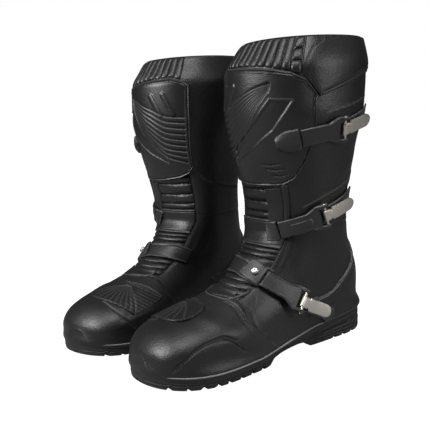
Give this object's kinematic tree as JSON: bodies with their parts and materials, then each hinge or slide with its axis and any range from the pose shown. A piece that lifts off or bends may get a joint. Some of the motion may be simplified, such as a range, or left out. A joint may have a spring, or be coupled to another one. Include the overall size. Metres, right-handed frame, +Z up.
{
  "type": "riding boots",
  "caption": "Pair of tall padded riding boots with a moulded shin guard, ribbed front gusset, lugged rubber sole and lever-and-ladder buckles on the outer side.",
  "frame": {"origin": "centre of the pair's bounding box in plan, at the floor under the soles", "axes": "+Z up from the soles to the rims, -Y towards the toes, +X towards the wearer's left boot"},
  "size_m": [0.338, 0.319, 0.345],
  "materials": {
    "leather": "satin full-grain, fine grain",
    "padded_leather": "soft padded, satin",
    "guard_plastic": "moulded, semi-matt",
    "strap_plastic": "moulded thermoplastic, semi-matt",
    "sole_rubber": "matt moulded rubber",
    "welt_rubber": "matt rubber with a scuffed light edge",
    "lining": "brushed knit",
    "board": "fibre board",
    "buckle_steel": "warm satin steel"
  },
  "bodies": {
    "right_boot": {"right_bellows": "padded_leather", "right_collar_back": "padded_leather", "right_collar_front": "padded_leather", "right_footbed": "lining", "right_heel_counter": "leather", "right_insole_board": "board", "right_instep_anchor": "strap_plastic", "right_instep_band": "leather", "right_instep_ladder": "strap_plastic", "right_lining": "lining", "right_mid_anchor": "strap_plastic", "right_mid_ladder": "strap_plastic", "right_midsole": "welt_rubber", "right_outsole": "sole_rubber", "right_quarter": "leather", "right_shaft": "leather", "right_shift_pad": "leather", "right_shin_guard": "guard_plastic", "right_top_anchor": "strap_plastic", "right_top_ladder": "strap_plastic", "right_vamp": "leather"},
    "left_boot": {"left_bellows": "padded_leather", "left_collar_back": "padded_leather", "left_collar_front": "padded_leather", "left_footbed": "lining", "left_heel_counter": "leather", "left_insole_board": "board", "left_instep_anchor": "strap_plastic", "left_instep_band": "leather", "left_instep_ladder": "strap_plastic", "left_lining": "lining", "left_mid_anchor": "strap_plastic", "left_mid_ladder": "strap_plastic", "left_midsole": "welt_rubber", "left_outsole": "sole_rubber", "left_quarter": "leather", "left_shaft": "leather", "left_shift_pad": "leather", "left_shin_guard": "guard_plastic", "left_top_anchor": "strap_plastic", "left_top_ladder": "strap_plastic", "left_vamp": "leather"},
    "right_top_strap_body": {"right_top_strap": "strap_plastic", "right_top_pin": "buckle_steel"},
    "right_top_lever_body": {"right_top_lever": "buckle_steel"},
    "right_mid_strap_body": {"right_mid_strap": "strap_plastic", "right_mid_pin": "buckle_steel"},
    "right_mid_lever_body": {"right_mid_lever": "buckle_steel"},
    "right_instep_strap_body": {"right_instep_strap": "strap_plastic", "right_instep_pin": "buckle_steel"},
    "right_instep_lever_body": {"right_instep_lever": "buckle_steel"},
    "left_top_strap_body": {"left_top_strap": "strap_plastic", "left_top_pin": "buckle_steel"},
    "left_top_lever_body": {"left_top_lever": "buckle_steel"},
    "left_mid_strap_body": {"left_mid_strap": "strap_plastic", "left_mid_pin": "buckle_steel"},
    "left_mid_lever_body": {"left_mid_lever": "buckle_steel"},
    "left_instep_strap_body": {"left_instep_strap": "strap_plastic", "left_instep_pin": "buckle_steel"},
    "left_instep_lever_body": {"left_instep_lever": "buckle_steel"}
  },
  "joints": [
    {"name": "right_top_strap_flex", "type": "hinge", "parent": "right_boot", "child": "right_top_strap_body", "pos_m": [-0.14098, 0.016, 0.23716], "axis": [-0.0765, -0.2702, 0.9598], "range_deg": [0, 70]},
    {"name": "right_top_lever_turn", "type": "hinge", "parent": "right_top_strap_body", "child": "right_top_lever_body", "pos_m": [-0.16199, 0.06467, 0.24398], "axis": [-0.2246, -0.2216, 0.9489], "range_deg": [0, 110]},
    {"name": "right_mid_strap_flex", "type": "hinge", "parent": "right_boot", "child": "right_mid_strap_body", "pos_m": [-0.1104, 0.01068, 0.13786], "axis": [0.2153, -0.1306, 0.9678], "range_deg": [0, 70]},
    {"name": "right_mid_lever_turn", "type": "hinge", "parent": "right_mid_strap_body", "child": "right_mid_lever_body", "pos_m": [-0.14515, 0.04945, 0.1508], "axis": [0.0069, -0.2889, 0.9573], "range_deg": [0, 110]},
    {"name": "right_instep_strap_flex", "type": "hinge", "parent": "right_boot", "child": "right_instep_strap_body", "pos_m": [-0.11012, -0.01766, 0.0899], "axis": [-0.0456, 0.7617, 0.6463], "range_deg": [0, 45]},
    {"name": "right_instep_lever_turn", "type": "hinge", "parent": "right_instep_strap_body", "child": "right_instep_lever_body", "pos_m": [-0.13792, 0.0138, 0.06057], "axis": [0.0455, 0.599, 0.7994], "range_deg": [0, 110]},
    {"name": "left_top_strap_flex", "type": "hinge", "parent": "left_boot", "child": "left_top_strap_body", "pos_m": [0.14098, 0.016, 0.23716], "axis": [-0.0765, 0.2702, -0.9598], "range_deg": [0, 70]},
    {"name": "left_top_lever_turn", "type": "hinge", "parent": "left_top_strap_body", "child": "left_top_lever_body", "pos_m": [0.16199, 0.06467, 0.24398], "axis": [-0.2246, 0.2216, -0.9489], "range_deg": [0, 110]},
    {"name": "left_mid_strap_flex", "type": "hinge", "parent": "left_boot", "child": "left_mid_strap_body", "pos_m": [0.1104, 0.01068, 0.13786], "axis": [0.2153, 0.1306, -0.9678], "range_deg": [0, 70]},
    {"name": "left_mid_lever_turn", "type": "hinge", "parent": "left_mid_strap_body", "child": "left_mid_lever_body", "pos_m": [0.14515, 0.04945, 0.1508], "axis": [0.0069, 0.2889, -0.9573], "range_deg": [0, 110]},
    {"name": "left_instep_strap_flex", "type": "hinge", "parent": "left_boot", "child": "left_instep_strap_body", "pos_m": [0.11012, -0.01766, 0.0899], "axis": [-0.0456, -0.7617, -0.6463], "range_deg": [0, 45]},
    {"name": "left_instep_lever_turn", "type": "hinge", "parent": "left_instep_strap_body", "child": "left_instep_lever_body", "pos_m": [0.13792, 0.0138, 0.06057], "axis": [0.0455, -0.599, -0.7994], "range_deg": [0, 110]},
    {"name": "left_boot_place", "type": "slide", "parent": "right_boot", "child": "left_boot", "axis": [1, 0, 0], "range_m": [0, 0.3]}
  ]
}
